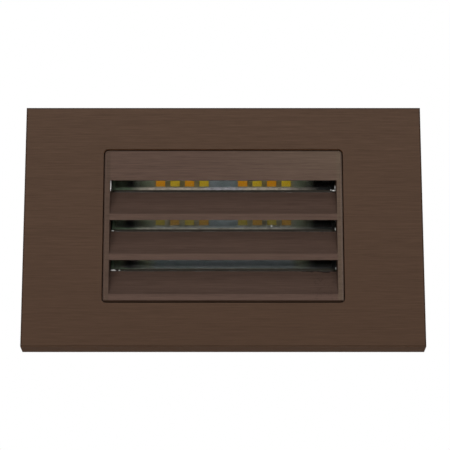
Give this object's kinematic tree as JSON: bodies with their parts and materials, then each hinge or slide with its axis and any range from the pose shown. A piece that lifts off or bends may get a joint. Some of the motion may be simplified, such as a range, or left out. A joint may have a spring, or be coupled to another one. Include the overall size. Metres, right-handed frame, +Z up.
{
  "type": "step light",
  "caption": "Recessed horizontal LED step light: louvred grille behind a snap-off bronze trim faceplate, sealed lens, driver housing and rear colour-temperature switch.",
  "frame": {"origin": "midway between the two box screw slots, on the wall plane", "axes": "+X to the right seen from the room, +Y into the wall, +Z up"},
  "size_m": [0.1174, 0.0442, 0.073],
  "materials": {
    "bronze_plate": "dark bronze coat, brushed along the length",
    "bronze_grille": "dark bronze coat, brushed along the length",
    "zinc_steel": "zinc-plated",
    "spring_steel": "bright rolled",
    "screw_steel": "plain",
    "dark_screw": "black oxide",
    "earth_green": "green-dyed",
    "clear_silicone": "clear, glossy",
    "grey_silicone": "matte",
    "foam": "closed-cell foam",
    "clear_glass": "clear",
    "board_white": "white solder mask on metal core",
    "led_warm": "orange phosphor in white case",
    "led_cool": "yellow phosphor in white case",
    "thermal_grey": "soft matte",
    "cast_housing": "dark textured coat",
    "film": "translucent film",
    "board_green": "green solder mask",
    "ferrite": "matte",
    "can_sleeve": "shrink sleeve on aluminium can",
    "chip_black": "moulded",
    "fuse_case": "moulded",
    "varistor_blue": "dipped coat",
    "pin_gold": "plated",
    "header_black": "moulded",
    "grommet_rubber": "moulded",
    "switch_case": "moulded",
    "switch_knob": "moulded"
  },
  "bodies": {
    "fixture": {"louver_grille": "bronze_grille", "mounting_yoke": "zinc_steel", "yoke_screws": "screw_steel", "lens_seal": "clear_silicone", "lens": "clear_glass", "grille_gasket": "grey_silicone", "led_board": "board_white", "warm_leds": "led_warm", "cool_leds": "led_cool", "led_board_screws": "screw_steel", "thermal_pad": "thermal_grey", "housing": "cast_housing", "driver_insulator": "film", "driver_board": "board_green", "driver_board_screws": "screw_steel", "driver_transformer": "ferrite", "driver_capacitors": "can_sleeve", "driver_chips": "chip_black", "input_fuse": "fuse_case", "surge_varistor": "varistor_blue", "link_pins": "pin_gold", "link_header": "header_black", "rear_gasket": "grey_silicone", "rear_cover": "cast_housing", "case_screws": "screw_steel", "earth_screw": "earth_green", "wire_grommet": "grommet_rubber", "cct_switch_body": "switch_case", "cct_switch_screws": "screw_steel"},
    "faceplate": {"faceplate": "bronze_plate", "faceplate_springs": "spring_steel", "wall_gasket": "foam"},
    "cct_slider": {"cct_switch_slider": "switch_knob"}
  },
  "joints": [
    {"name": "faceplate_pull", "type": "slide", "parent": "fixture", "child": "faceplate", "axis": [0, -1, 0], "range_m": [0, 0.02]},
    {"name": "cct_select", "type": "slide", "parent": "fixture", "child": "cct_slider", "axis": [1, 0, 0], "range_m": [-0.002, 0.002]}
  ]
}
